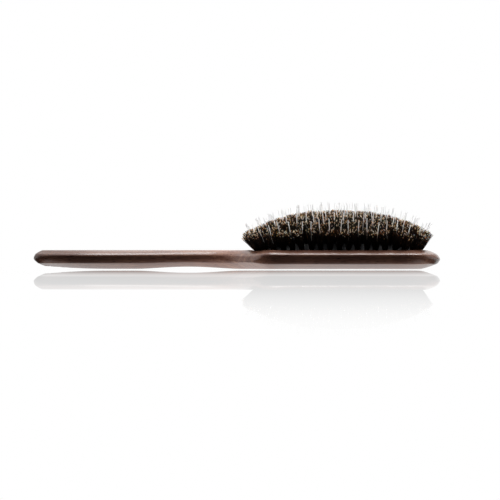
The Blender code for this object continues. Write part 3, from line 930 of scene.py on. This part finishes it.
@dataclass
class BristleBed:
    """Tufts and quills that fan out of the pad in five rings round a centre row."""

    pad: PadShape
    ring_count: int = 5
    first_ring_inset: float = 3.6 * MM
    tuft_pitch: float = 5.5 * MM
    fan_lengthwise: float = math.radians(30.0)
    fan_head_end: float = math.radians(25.0)
    fan_crosswise: float = math.radians(30.0)
    fan_lengthwise_power: float = 2.6
    fan_crosswise_power: float = 1.3
    tuft_length: float = 14.3 * MM
    tuft_root_radius: float = 1.2 * MM
    tuft_tip_radius: float = 3.4 * MM
    tuft_flare: float = 0.85
    tuft_sway: float = 0.075
    tuft_trim: Pair = (0.92, 1.0)
    root_depth: float = 0.6 * MM
    bristles_per_tuft: int = 110
    bristle_radius: float = 0.12 * MM
    bristle_sides: int = 3
    bristle_spread: Pair = (0.9, 1.1)
    bristle_bend: float = 0.35 * MM
    longest: float = 1.02
    rounding: float = 0.02
    raggedness: float = 0.26
    stray_share: float = 0.05
    stray_extra: float = 0.05
    stations: tuple[float, ...] = (0.0, 0.4, 0.9, 0.97, 1.0)
    taper: tuple[float, ...] = (1.0, 0.95, 0.8, 0.95, 0.3)
    split_from: float = 0.95
    split_tip: float = 2.0
    pale_from: float = 0.77
    quill_length: float = 19.3 * MM
    quill_radius: float = 0.24 * MM
    quill_setback: Pair = (0.2 * MM, 2.4 * MM)
    quill_sway: float = 0.055
    quill_trim: Pair = (0.95, 1.0)
    quill_taper: tuple[float, ...] = (1.0, 0.95, 0.9)
    quill_dome: tuple[float, ...] = (0.95, 0.8, 0.55, 0.2)
    quill_sides: int = 6
    tuft_seed: int = 7
    quill_seed: int = 107

    def lines(self) -> list[BedLine]:
        """Every line of the bed: the rings from the outside in, and then the centre row."""
        spacing = (self.pad.half_width - self.first_ring_inset) / self.ring_count
        found = []
        for ring in range(self.ring_count):
            inset = self.first_ring_inset + spacing * ring
            length = 2 * self.pad.half_round(inset)
            count = round(length / self.tuft_pitch)
            place, out = self.pad.contour(inset, (np.arange(count) + 0.5) * length / count)
            found.append(BedLine(f"ring_{ring + 1}", place, out))
        count = round(2 * (self.pad.half_length - self.pad.half_width) / self.tuft_pitch)
        x = (np.arange(count) + 0.5 - count / 2) * self.tuft_pitch
        zeros = np.zeros_like(x)
        out = np.column_stack([zeros, zeros - 1])
        found.append(BedLine("centre_row", np.column_stack([x, zeros]), out))
        return found

    def directions(self, place: np.ndarray) -> np.ndarray:
        """The way strands point: upright at the centre, leaning by a power of the distance from it.

        The lean lengthwise is smaller on the half towards the head's end.

        Args:
            place: Plan places of the strands' roots, as n x 2.

        Returns:
            The unit directions, as n x 3.
        """
        size = np.array([self.pad.half_length, self.pad.half_width]) - self.first_ring_inset
        share = place / size
        power = np.array([self.fan_lengthwise_power, self.fan_crosswise_power])
        lengthwise = np.where(share[:, 0] > 0, self.fan_head_end, self.fan_lengthwise)
        fan = np.stack([lengthwise, np.full_like(lengthwise, self.fan_crosswise)], axis=1)
        lean = np.sign(share) * fan * np.abs(share) ** power
        return unit(np.concatenate([np.tan(lean), np.ones_like(lean[:, :1])], axis=1))

    def tubes(
        self, path: np.ndarray, radius: np.ndarray, sides: int, tint: np.ndarray, along: np.ndarray
    ) -> Surface:
        """Thin closed tubes along many paths.

        Each path point gets a ring of points, at the path's radius there, in the plane square to the
        strand's first step, and the two ends are closed with one flat face each.

        Args:
            path: Path points, as strands x points x 3.
            radius: Tube radius, as strands x points.
            sides: Sides of a tube.
            tint: One random number for each strand, kept in the UV's first place.
            along: Share of the strand's length at each path point, kept in the UV's second place.

        Returns:
            All tubes as one surface.
        """
        strands, points = path.shape[:2]
        axis = unit(path[:, 1] - path[:, 0])
        angle = np.arange(sides) * 2 * math.pi / sides + tint[:, None] * 2 * math.pi
        spoke = spokes(angle, *square_to(axis, (0.3, 1.0, 0.1)))
        rings = path[:, :, None] + radius[:, :, None, None] * spoke[:, None]
        index = np.arange(strands * points * sides).reshape(strands, points, sides)
        ahead = np.roll(index, -1, axis=2)
        quads = np.stack([index[:, :-1], ahead[:, :-1], ahead[:, 1:], index[:, 1:]], axis=-1)
        uv = np.stack(np.broadcast_arrays(tint[:, None, None], along[None, :, None]), axis=-1)
        uv = np.broadcast_to(uv, (strands, points, sides, 2))
        faces = [quads.reshape(-1, 4), index[:, 0, ::-1], index[:, -1]]
        return Surface(rings.reshape(-1, 3), faces, uv.reshape(-1, 2))

    def tufts(self, line: BedLine, number: int) -> bpy.types.Object:
        """One line's tufts: bristles that start close together and spread towards ragged tips.

        A bristle leaves its tuft's centre by its own share of the tuft's radius, which grows from the
        root to the tip, and bends a little further as the square of its length.

        Args:
            line: The line of the bed.
            number: The line's number, which seeds its random spread.

        Returns:
            The piece.
        """
        random = np.random.default_rng(self.tuft_seed + number)
        tufts, count = len(line.place), self.bristles_per_tuft
        axis = unit(self.directions(line.place) + random.normal(0, self.tuft_sway, (tufts, 3)))
        first, second = square_to(axis, (0.0, 1.0, 0.0))
        share = np.sqrt((np.arange(count) + 0.5) / count)
        angle = np.arange(count) * GOLDEN_ANGLE + random.uniform(0, 2 * math.pi, (tufts, 1))
        share = share * random.uniform(*self.bristle_spread, (tufts, count))
        spread = spokes(angle, first, second)
        shortfall = self.rounding * share**2 + self.raggedness * random.uniform(0, 1, (tufts, count)) ** 2
        length = self.tuft_length * (self.longest - shortfall) * random.uniform(*self.tuft_trim, (tufts, 1))
        stray = random.uniform(0, 1, (tufts, count)) > 1 - self.stray_share
        length = length + np.where(stray, self.stray_extra * self.tuft_length, 0.0)
        bend = random.normal(0, self.bristle_bend, (tufts, count, 1)) * second[:, None]
        bend = bend + random.normal(0, self.bristle_bend, (tufts, count, 1)) * first[:, None]

        along = np.array(self.stations)
        reach = -self.root_depth + (length[..., None] + self.root_depth) * along
        growth = self.tuft_tip_radius - self.tuft_root_radius
        radius = self.tuft_root_radius + growth * along**self.tuft_flare
        root = self.pad.in_brush(line.place, self.pad.top(line.place))
        path = root[:, None, None] + axis[:, None, None] * reach[..., None]
        path = path + spread[:, :, None] * (share[..., None] * radius)[..., None]
        path = path + bend[:, :, None] * (along**2)[:, None]
        tint = random.uniform(0, 1, tufts * count)
        swell = np.where(tint > self.pale_from, self.split_tip, 1.0)[:, None]
        swollen = np.where(along > self.split_from, swell, 1.0)
        thickness = self.bristle_radius * swollen * np.array(self.taper)
        surface = self.tubes(path.reshape(-1, len(along), 3), thickness, self.bristle_sides, tint, along)
        return surface.to_object(f"boar_tufts_{line.body}", Shading.SOFT)

    def quills(self, line: BedLine, number: int) -> bpy.types.Object:
        """One line's quills: round rods with domed tips, one on the inner side of each tuft.

        Args:
            line: The line of the bed.
            number: The line's number, which seeds its random spread.

        Returns:
            The piece.
        """
        random = np.random.default_rng(self.quill_seed + number)
        count = len(line.place)
        place = line.place - line.out * random.uniform(*self.quill_setback, (count, 1))
        axis = unit(self.directions(line.place) + random.normal(0, self.quill_sway, (count, 3)))
        length = self.quill_length * random.uniform(*self.quill_trim, count)
        dome = np.array(self.quill_dome)
        straight = np.array([0.0, 0.5])
        below_tip = np.sqrt(1 - dome**2) - 1
        reach = np.concatenate(
            [
                straight * (length[:, None] + self.root_depth) - self.root_depth,
                length[:, None] - self.quill_radius,
                length[:, None] + below_tip * self.quill_radius,
            ],
            axis=1,
        )
        root = self.pad.in_brush(place, self.pad.top(place))
        path = root[:, None] + axis[:, None] * reach[..., None]
        radius = self.quill_radius * np.concatenate([self.quill_taper, self.quill_taper[-1] * dome])
        radius = np.broadcast_to(radius, reach.shape)
        tint = random.uniform(0, 1, count)
        along = np.linspace(0, 1, reach.shape[1])
        surface = self.tubes(path, radius, self.quill_sides, tint, along)
        return surface.to_object(f"nylon_quills_{line.body}", Shading.SOFT)

    def build_and_dress(self) -> None:
        """Every line's tufts and quills, each riding on its own line's body."""
        boar = BoarBristle().make()
        nylon = ClearNylon().make()
        for number, line in enumerate(self.lines()):
            settle(self.tufts(line, number), boar, line.body, Slot.BOAR, f"bristle_{line.body}")
            settle(self.quills(line, number), nylon, line.body, Slot.NYLON, f"quill_{line.body}")


# Cushion pad


@dataclass
class CushionPad:
    """The moulded rubber air cushion: a dome with a flange, and a small collar round each tuft."""

    pad: PadShape
    bed: BristleBed
    press_joint: str = "centre_press"
    collar_radius: float = 1.55 * MM
    collar_width: float = 0.5 * MM
    collar_height: float = 0.35 * MM
    vent_diameter: float = 1.8 * MM
    vent_inset: float = 6.8 * MM
    vent_sides: int = 24
    pin_reach: Pair = (-0.5, 1.5)
    round_steps: int = 180
    inset_steps: int = 41

    def heights(self, place: np.ndarray) -> np.ndarray:
        """The dome's height plus a collar, a bell curve of the distance from the nearest tuft's edge."""
        roots = np.concatenate([line.place for line in self.bed.lines()])
        flat = place.reshape(-1, 2)
        nearest = np.full(len(flat), np.inf)
        for root in roots:
            nearest = np.minimum(nearest, np.hypot(flat[:, 0] - root[0], flat[:, 1] - root[1]))
        collar = np.exp(-(((nearest - self.collar_radius) / self.collar_width) ** 2))
        return self.pad.top(place) + self.collar_height * collar.reshape(place.shape[:-1])

    def build(self) -> bpy.types.Object:
        """Top and underside of half the pad, worked out on contours from the flange to the centre line."""
        share = np.linspace(0, 1, self.round_steps + 1)
        dome = np.linspace(0, self.pad.half_width, self.inset_steps + 1)
        insets = np.concatenate([[-self.pad.flange, -self.pad.flange / 2], dome])
        place = np.stack([self.pad.contour(i, share * self.pad.half_round(i))[0] for i in insets])
        place[..., 1] = np.maximum(place[..., 1], 0)
        upper = self.pad.in_brush(place, self.heights(place))
        lower = self.pad.in_brush(place, self.pad.top(place) - self.pad.thickness)
        half = Surface.grid(np.concatenate([upper[::-1], lower]))
        piece = half.mirrored().to_object("rubber_cushion", Shading.CRISP, weld=WELD)
        self.pierce(piece)
        return piece

    def pierce(self, piece: bpy.types.Object) -> None:
        """Cut the vent, a round hole on the centre line near the handle, and keep the cut mesh.

        Args:
            piece: The uncut cushion.
        """
        centre = np.array([[self.vent_inset - self.pad.half_length, 0.0]] * 2)
        heights = self.pad.edge_z + self.pad.rise * np.array(self.pin_reach)
        path = self.pad.in_brush(centre, heights)[None]
        radius = np.full((1, 2), self.vent_diameter / 2)
        pin = self.bed.tubes(path, radius, self.vent_sides, np.zeros(1), np.zeros(2))
        cutter = Surface(pin.points, pin.faces).to_object("vent_pin", Shading.FLAT)
        piece.modifiers.new("vent", "BOOLEAN").object = cutter
        cut = piece.evaluated_get(bpy.context.evaluated_depsgraph_get())
        mesh = bpy.data.meshes.new_from_object(cut)
        piece.modifiers.clear()
        piece.data = mesh
        shade(mesh, Shading.CRISP)
        bpy.data.objects.remove(cutter)

    def dress(self, piece: bpy.types.Object) -> None:
        """Moulded rubber, held in the paddle, on a mesh of its own."""
        settle(piece, MouldedRubber().make(), "paddle", Slot.RUBBER, "cushion_pad")
        centre = self.bed.lines()[-1].place
        height = float(np.mean(self.pad.top(centre)) - self.pad.edge_z)
        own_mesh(piece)


def dress_wires() -> None:
    """Give the anchor wires behind the pad their tinned finish."""
    finish = TinnedWire().make()
    for name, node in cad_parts.items():
        if name.startswith("wire_"):
            node.data.materials.clear()
            node.data.materials.append(finish)
            log.info("%s: kept from the frame", name)


# Studio


@dataclass(frozen=True)
class SoftBox:
    """A rectangular lamp: its place, aim, width and height in metres, and its power in watts."""

    name: str
    place: Triple
    aim: Triple
    size: Pair
    power: float

    def hang(self) -> None:
        """Add the lamp to the scene."""
        data = bpy.data.lights.new(self.name, "AREA")
        data.shape = "RECTANGLE"
        data.size, data.size_y = self.size
        data.energy = self.power
        made = bpy.data.objects.new(self.name, data)
        made.location = self.place
        made.rotation_euler = (Vector(self.aim) - made.location).to_track_quat("-Z", "Y").to_euler()
        bpy.context.scene.collection.objects.link(made)


@dataclass
class Studio:
    """White floor and surround, soft lamps above and behind, and a long-lens side view."""

    picture_width: float = 300.0 * MM
    picture_pixels: int = 500
    butt_pixel: float = 33.65
    back_pixel: float = 268.9
    camera_distance: float = 2.0
    sensor: float = 36.0
    clip_end: float = 20.0
    floor_size: float = 6.0
    floor_drop: float = 0.5 * MM
    floor_pale: str = "#e6e6e6"
    floor_dim: str = "#303030"
    glow_near: float = 0.7
    glow_reach: Pair = (0.1, 0.4)
    # Reflections see a floor that is lit from just before the brush's front backwards. The line of its
    # front edge steps out from the handle's front to the head's, and past the ends it follows a slant.
    lit_floor: float = 0.8
    lit_edge_x: Pair = (-0.02, 0.015)
    lit_edge_y: Pair = (0.0145, 0.041)
    lit_edge_blend: Pair = (-0.002, 0.002)
    lit_ends_x: Pair = (0.117, 0.121)
    lit_slant: Triple = (0.1, 1.0, 0.0)
    lit_slant_blend: Pair = (-0.004, 0.002)
    # How much of the floor's mirror is left at a distance before the brush.
    mirror_reach: float = 1.65
    mirror_fade: tuple[Pair, ...] = (
        (1.46, 0.03),
        (0.9, 0.31),
        (0.43, 0.38),
        (0.26, 0.7),
        (0.18, 0.95),
    )
    # The room that lights the brush: a span of directions for each part, and its glow over that span.
    dome_towards: Triple = (-0.3, 0.31, 0.9)
    dome_span: Pair = (0.4, 0.8)
    dome_glow: Pair = (0.02, 0.65)
    wall_span: Pair = (0.5, 0.9)
    wall_glow: Pair = (0.0, 0.8)
    wall_rear: Pair = (-0.2, 0.1)
    backdrop_span: Pair = (0.7, 0.95)
    lamps: tuple[SoftBox, ...] = (
        SoftBox("soft_box_above", (0.36, 0.15, 1.1), (0.36, 0.15, 0.0), (1.08, 0.55), 13.6),
        SoftBox("soft_box_behind", (0.375, 0.85, 0.95), (0.375, 0.0, 0.0), (1.05, 0.82), 3.2),
        SoftBox("soft_box_left", (-0.45, 0.5, 1.0), (0.0, 0.0, 0.0), (0.5, 0.8), 1.0),
    )

    def floor(self) -> None:
        """A white acrylic sheet: it glows for the camera and for reflections, takes shadows, and mirrors.

        Its glow for the camera grows with the distance from the brush, so that the shadow stays and the
        sheet meets the white surround with no line. Its mirror fades out towards the camera.
        """
        half = self.floor_size / 2
        corners = np.array([[[-half, -half], [half, -half]], [[-half, half], [half, half]]])
        points = np.concatenate([corners, np.full((2, 2, 1), -self.floor_drop)], axis=-1)
        sheet = Surface.grid(points).to_object("floor", Shading.FLAT)
        made, add = new_material("white_acrylic_sheet")
        seen = add("LightPath", out="Is Camera Ray")
        place = add("TexCoord", out="Object")
        x, y = (add("SeparateXYZ", {"Vector": place}, axis) for axis in "XY")
        distance = add("VectorMath", {0: place}, "Value", operation="LENGTH")
        fading = spanned(distance, *self.glow_reach, self.glow_near)
        far = add("MapRange", fading, interpolation_type="SMOOTHSTEP")
        edge = add("MapRange", spanned(x, *self.lit_edge_x, *self.lit_edge_y))
        behind = add("Math", {0: y, 1: edge}, operation="ADD")
        lit = add("MapRange", spanned(behind, *self.lit_edge_blend, 0.0, self.lit_floor))
        side = add("Math", {0: x}, operation="ABSOLUTE")
        between_ends = add("MapRange", spanned(side, *self.lit_ends_x, 1.0, 0.0))
        slant = add("VectorMath", {0: place, 1: self.lit_slant}, "Value", operation="DOT_PRODUCT")
        past_slant = add("MapRange", spanned(slant, *self.lit_slant_blend))
        open_floor = add("Math", {0: between_ends, 1: past_slant}, operation="MAXIMUM")
        reflected = add("Math", {0: lit, 1: open_floor}, operation="MULTIPLY")
        glow = add("Mix", {"Factor": seen, 2: reflected, 3: far}, data_type="FLOAT")
        greys = {"Factor": seen, 6: colour(self.floor_dim), 7: colour(self.floor_pale)}
        matt = add("BsdfDiffuse", {"Color": add("Mix", greys, 2, data_type="RGBA")})
        white = add("Emission", {"Color": colour("#ffffff"), "Strength": 1.0})
        acrylic = add("MixShader", {0: glow, 1: matt, 2: white})
        gloss = add("BsdfGlossy", {"Color": colour("#ffffff"), "Roughness": 0.0})
        near = add("MapRange", spanned(y, -self.mirror_reach, 0.0))
        fades = [(1 - before / self.mirror_reach, left) for before, left in self.mirror_fade]
        stops = [(position, (left, left, left, 1.0)) for position, left in fades]
        fade = add("ValToRGB", {"Fac": near}, stops=stops)
        grazing = add("Fresnel", {"IOR": 1.5})
        mirror = add("Math", {0: fade, 1: grazing}, operation="MULTIPLY")
        shown = add("Math", {0: mirror, 1: seen}, operation="MULTIPLY")
        mixed = add("MixShader", {0: shown, 1: acrylic, 2: gloss})
        add("OutputMaterial", {"Surface": mixed})
        sheet.data.materials.append(made)

    def surround(self) -> None:
        """White where the camera looks and through the nylon, and for other light a room with a dim front.

        The room's parts are a dome overhead to the left and rear, walls beside the rear, and a backdrop.
        """
        world = bpy.data.worlds.new("white_studio")
        bpy.context.scene.world = world
        world.use_nodes = True
        world.node_tree.nodes.clear()
        add = partial(add_node, world.node_tree)
        rays = ("Is Camera Ray", "Is Transmission Ray")
        direct, through = (add("LightPath", out=ray) for ray in rays)
        seen = add("Math", {0: direct, 1: through}, operation="MAXIMUM")
        way = add("TexCoord", out="Generated")
        x, y = (add("SeparateXYZ", {"Vector": way}, axis) for axis in "XY")
        towards = add("VectorMath", {0: way, 1: self.dome_towards}, "Value", operation="DOT_PRODUCT")
        side = add("Math", {0: x}, operation="ABSOLUTE")
        dome, walls, backdrop = (
            add("MapRange", part, interpolation_type="SMOOTHSTEP")
            for part in (
                spanned(towards, *self.dome_span, *self.dome_glow),
                spanned(side, *self.wall_span, *self.wall_glow),
                spanned(y, *self.backdrop_span),
            )
        )
        rear = add("MapRange", spanned(y, *self.wall_rear))
        rear_walls = add("Math", {0: walls, 1: rear}, operation="MULTIPLY")
        around = add("Math", {0: rear_walls, 1: backdrop}, operation="MAXIMUM")
        strength = add("Math", {0: dome, 1: around}, operation="MAXIMUM")
        room, white = (
            add("Background", {"Color": colour("#ffffff"), "Strength": level})
            for level in (strength, 1.0)
        )
        mixed = add("MixShader", {0: seen, 1: room, 2: white})
        add("OutputWorld", {"Surface": mixed})

    def camera(self) -> None:
        """A level side view whose picture holds the butt and the back at their pixels in the photograph."""
        scale = self.picture_width / self.picture_pixels
        low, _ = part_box("paddle_body")
        data = bpy.data.cameras.new("side_view")
        data.sensor_width = self.sensor
        data.lens = self.sensor * self.camera_distance / self.picture_width
        data.clip_end = self.clip_end
        made = bpy.data.objects.new("side_view", data)
        middle = self.picture_pixels / 2
        made.location = (
            low.x + (middle - self.butt_pixel) * scale,
            -self.camera_distance,
            (self.back_pixel - middle) * scale,
        )
        made.rotation_euler = (math.pi / 2, 0, 0)
        bpy.context.scene.collection.objects.link(made)
        bpy.context.scene.camera = made

    def build(self) -> None:
        """Set the floor, the surround, the lamps and the camera."""
        bpy.context.scene.view_settings.view_transform = "Standard"
        self.floor()
        self.surround()
        for lamp in self.lamps:
            lamp.hang()
        self.camera()


def main() -> None:
    """Build and dress every piece of the brush, then the studio round it."""
    logging.basicConfig(level=logging.INFO)
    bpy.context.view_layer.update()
    pad_shape = PadShape()
    paddle = Paddle(pad_shape)
    paddle.dress(paddle.build())
    bed = BristleBed(pad_shape)
    bed.build_and_dress()
    cushion = CushionPad(pad_shape, bed)
    cushion.dress(cushion.build())
    dress_wires()
    Studio().build()


if __name__ == "__main__":
    main()
